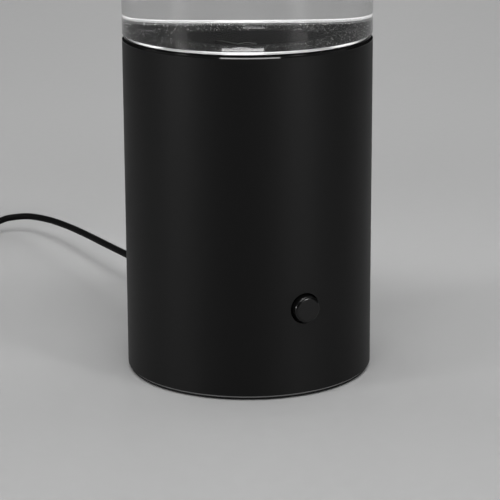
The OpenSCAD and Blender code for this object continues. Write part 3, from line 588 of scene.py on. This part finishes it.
SEALANT_BEND = 1.41
NO_BEND = 1.0
dry_acrylic = clear("dry_acrylic", ACRYLIC_BEND, grey(0.9))
wet_acrylic = clear("wet_acrylic", ACRYLIC_BEND / WATER_BEND, grey(0.92))
cut_acrylic = clear("cut_acrylic", ACRYLIC_BEND, grey(1), rough=0.2, passing=0.55)
finishes["seal_clear"] = clear("clear_sealant", SEALANT_BEND / WATER_BEND, grey(0.95))
water_top = clear("water_top", WATER_BEND, grey(1))
water_side = clear("water_side", NO_BEND, grey(1))
finishes["clear_tube"] = dry_acrylic
print("light bends at the wetted wall by", round(ACRYLIC_BEND / WATER_BEND, 3))

# %% [markdown]
# Every solid names a slot for its finish, such as casing or rubber, so one loop can dress them all.
# Dressing them by hand would do, but a loop leaves none out. Two solids are dressed apart. The drum has its
# smooth shoulder and a painted highlight on its lower edge, and the cover below wears the drum's satin
# black, so that only a dark line shows between the edge and the table.

# %% Dress the solids
for part in frame["record"]["subparts"]:
    mesh = node[part["node"]].data
    mesh.materials.clear()
    mesh.materials.append(finishes[part["material_slot"]])
cord_curve.materials.append(finishes["cord_black"])
node["base_casing"].data.materials[0] = rimmed_black
node["bottom_cover"].data.materials[0] = finishes["casing"]

# %% [markdown]
# Tube and water are turned shapes, so we draw half of their outline and spin it round the lamp's axis.
# Blender's Screw modifier would do the same, but a mesh made by code can give each band of the outline
# its own finish. The solid of the tube has about a hundred flats, which would show as stripes through
# the water, so the new one has four times as many.

# %% A helper that turns an outline
TURN_STEPS = 384
SHARP_ANGLE = math.radians(30)


def turned(name, outline, bands, materials, closed=True):
    """Mesh from (radius, height) points in mm, listed from the foot outwards and up, so that its faces
    look outwards. bands gives the material of each edge of the outline."""
    mesh = bpy.data.meshes.new(name)
    count = len(outline)
    points = []
    rows = []
    for radius, height in outline:
        steps = TURN_STEPS if radius > 0 else 1
        rows.append((len(points), steps))
        for i in range(steps):
            angle = math.tau * i / TURN_STEPS
            points.append((radius * MM * math.cos(angle), radius * MM * math.sin(angle), height * MM))
    faces = []
    slots = []
    for e in range(count if closed else count - 1):
        (a, a_steps), (b, b_steps) = rows[e], rows[(e + 1) % count]
        for i in range(TURN_STEPS):
            j = (i + 1) % TURN_STEPS
            ring = [a + i % a_steps, a + j % a_steps, b + j % b_steps, b + i % b_steps]
            faces.append(list(dict.fromkeys(ring)))
            slots.append(bands[e])
    mesh.from_pydata(points, [], faces)
    for material in materials:
        mesh.materials.append(material)
    mesh.polygons.foreach_set("material_index", slots)
    mesh.shade_smooth()
    mesh.set_sharp_from_angle(angle=SHARP_ANGLE)
    piece = bpy.data.objects.new(name, mesh)
    bpy.context.scene.collection.objects.link(piece)
    return piece


print("turned pieces have", TURN_STEPS, "steps")

# %% [markdown]
# The tube is a length of acrylic pipe. Its foot is bevelled where it stands on the drum, and its upper end
# has a small polished edge. A plain cylinder would look the same from afar, but the bevel is what catches
# the light. The last band of the outline is the wetted wall, which ends where the water does.

# %% Turn the clear tube
tube_low, tube_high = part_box("vessel_tube")
tube_r = tube_high.x / MM
TUBE_WALL = 3.5
TUBE_BEVEL = 1.3
TOP_EDGE = 0.4
WATER_LEVEL = 366.0
MENISCUS = 2.0
tube_foot = tube_low.z / MM
tube_top = tube_high.z / MM
tube_inside = tube_r - TUBE_WALL
tube_outline = [
    (tube_inside, tube_foot),
    (tube_r - TUBE_BEVEL, tube_foot),
    (tube_r, tube_foot + TUBE_BEVEL),
    (tube_r, tube_top - TOP_EDGE),
    (tube_r - TOP_EDGE, tube_top),
    (tube_inside + TOP_EDGE, tube_top),
    (tube_inside, tube_top - TOP_EDGE),
    (tube_inside, WATER_LEVEL + MENISCUS),
]
tube_finishes = [dry_acrylic, wet_acrylic, cut_acrylic]
DRY, WET, CUT = range(3)
tube_bands = [DRY, CUT, DRY, DRY, DRY, DRY, DRY, WET]
clear_tube = turned("clear_tube", tube_outline, tube_bands, tube_finishes)
clear_tube.visible_shadow = False
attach(clear_tube, "base")
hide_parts("vessel_tube")
print("tube is", round(tube_top - tube_foot, 1), "mm long, wetted up to", WATER_LEVEL + MENISCUS, "mm")

# %% [markdown]
# The water stands a little below the lid and climbs the wall in a small curve, the meniscus. It also fills
# the well in the floor where the impeller turns. Its sides touch the wall, which already bends the light
# there, so only its open surface has the finish of water. It is still, because the lamp is off.
# A disc could stand for the surface, but a closed body also shows how much water the lamp holds.

# %% Pour the water
floor_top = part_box("vessel_floor")[1].z / MM
# How far the water keeps from the wall and how deep it dips into the floor, so that no faces coincide
SKIN = 0.05
SUNK = 0.2
WELL_R = 23.0
WELL_DEPTH = 16.1
MENISCUS_REACH = 1.8
MENISCUS_STEPS = (0, 0.5, 1.2, 2, 3, 4.5, 7, 12)
water_floor = floor_top - SUNK
well_floor = floor_top - WELL_DEPTH
water_r = tube_inside - SKIN
water_outline = [
    (0, well_floor - SUNK),
    (WELL_R + SUNK, well_floor - SUNK),
    (WELL_R + SUNK, water_floor),
    (water_r, water_floor),
]
OPEN, TOUCHING = range(2)
water_bands = [TOUCHING] * len(water_outline)
for step in MENISCUS_STEPS:
    climb = MENISCUS * math.exp(-step / MENISCUS_REACH)
    water_outline.append((water_r - step, WATER_LEVEL + climb))
    water_bands.append(OPEN)
water_outline.append((0, WATER_LEVEL))
water = turned("water", water_outline, water_bands, [water_top, water_side], closed=False)
water.visible_shadow = False
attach(water, "base")
print("water stands", round(WATER_LEVEL - water_floor, 1), "mm deep")

# %% [markdown]
# A bead of clear sealant closes the corner between floor and tube. Under water it hardly shows, because it
# bends light almost as water does. Its solid would do, but the flats of that would show as stripes behind
# the water, so the bead is turned in finer steps, as the tube is.

# %% Lay the sealant bead
def arc(centre, radius, start, end, steps):
    """Round stretch of an outline, in degrees."""
    turn = [math.radians(start + (end - start) * i / steps) for i in range(steps + 1)]
    return [(centre[0] + radius * math.cos(a), centre[1] + radius * math.sin(a)) for a in turn]


BEAD_R = 1.0
bead_corner = (tube_inside - SKIN, floor_top)
bead_outline = arc(bead_corner, BEAD_R, start=90, end=180, steps=12) + [bead_corner]
sealant_bead = turned("sealant_bead", bead_outline, [0] * len(bead_outline), [finishes["seal_clear"]])
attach(sealant_bead, "base")
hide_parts("vessel_seal")
print("bead is", BEAD_R, "mm wide")

# %% [markdown]
# Fresh water lets go of its air, and tiny bubbles settle on the black floor. They are what speckles the
# dark band in the photograph. Each is a small ball that touches the floor, and all of them are one mesh.
# A particle system would scatter them too, but a short seeded loop stays the same on every run.
# They keep off the impeller's well, the wall and the lenses, which are too smooth to hold them.

# %% Scatter the bubbles
BUBBLES = 1400
SEED = 7
NEAREST, FARTHEST = 26.0, 49.0
SMALLEST, SPREAD = 0.06, 0.08
SEATED = 0.9
LENSES = 6
LENS_RING_R = 34.5
LENS_CLEAR = 5
CORNERS_PER_BALL = 12


def round_spot(reach, angle):
    return Vector((reach * math.cos(angle), reach * math.sin(angle)))


bubble_mesh = bpy.data.meshes.new("floor_bubbles")
balls = bmesh.new()
scatter = random.Random(SEED)
lens_spots = [round_spot(LENS_RING_R, math.tau * i / LENSES) for i in range(LENSES)]
while len(balls.verts) < CORNERS_PER_BALL * BUBBLES:
    away = math.sqrt(scatter.uniform(NEAREST ** 2, FARTHEST ** 2))
    angle = scatter.uniform(0, math.tau)
    size = SMALLEST + SPREAD * scatter.random() ** 3
    spot = round_spot(away, angle)
    if min((spot - lens).length for lens in lens_spots) < LENS_CLEAR:
        continue
    place = Matrix.Translation(Vector((spot.x, spot.y, floor_top + size * SEATED)) * MM)
    bmesh.ops.create_icosphere(balls, subdivisions=1, radius=size * MM, matrix=place)
for face in balls.faces:
    face.smooth = True
balls.to_mesh(bubble_mesh)
balls.free()
# The bubbles' grey colour is a painted glint: real bubbles are clear and show as bright specks by reflection
bubble_mesh.materials.append(grained("bubble_painted_glint", grey(0.22), grey(0.32), (0.2, 0.3), 0.5, 0.0))
floor_bubbles = bpy.data.objects.new("floor_bubbles", bubble_mesh)
bpy.context.scene.collection.objects.link(floor_bubbles)
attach(floor_bubbles, "base")
print("bubbles:", BUBBLES)

# %% [markdown]
# Behind the button sits a small coil spring. The solid has a six-sided wire, so a rounder one replaces it:
# a tube swept along the same helix. A curve could draw it, as it draws the cord, but a mesh of rings shows
# how such a tube is built.

# %% Wind the button's spring
spring_low, spring_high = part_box("button_spring")
WIRE = 0.8 * MM
SPRING_TURNS = 4
SPRING_STEPS = 32
WIRE_SIDES = 10
BUTTON_AXIS = Vector((0, 1, 0))
spring_r = (spring_high.x - spring_low.x - WIRE) / 2
spring_z = (spring_high.z + spring_low.z) / 2
spring_front = spring_low.y + WIRE / 2
spring_back = spring_high.y - WIRE / 2
wire_points = []
steps = SPRING_TURNS * SPRING_STEPS
for i in range(steps + 1):
    angle = math.tau * i / SPRING_STEPS
    outward = Vector((math.cos(angle), 0, math.sin(angle)))
    along = spring_back + (spring_front - spring_back) * i / steps
    centre = spring_r * outward + Vector((0, along, spring_z))
    for k in range(WIRE_SIDES):
        turn = math.tau * k / WIRE_SIDES
        side = math.cos(turn) * outward + math.sin(turn) * BUTTON_AXIS
        wire_points.append(centre + WIRE / 2 * side)
wire_faces = [
    (i * WIRE_SIDES + k, i * WIRE_SIDES + (k + 1) % WIRE_SIDES,
     (i + 1) * WIRE_SIDES + (k + 1) % WIRE_SIDES, (i + 1) * WIRE_SIDES + k)
    for i in range(steps) for k in range(WIRE_SIDES)
]
wire_faces.append(tuple(range(WIRE_SIDES)))
wire_faces.append(tuple(steps * WIRE_SIDES + k for k in reversed(range(WIRE_SIDES))))
wire_mesh = bpy.data.meshes.new("return_spring")
wire_mesh.from_pydata(wire_points, [], wire_faces)
wire_mesh.shade_smooth()
wire_mesh.materials.append(finishes["bright_steel"])
return_spring = bpy.data.objects.new("return_spring", wire_mesh)
bpy.context.scene.collection.objects.link(return_spring)
print("spring has", SPRING_TURNS, "turns and", len(wire_faces), "faces")

# %% [markdown]
# When the button goes in, the spring has to get shorter. It could ride on the button, but then its back end
# would go through the wall that it rests on.

# %% Seat the spring
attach(return_spring, "base")
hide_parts("button_spring")
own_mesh(return_spring)
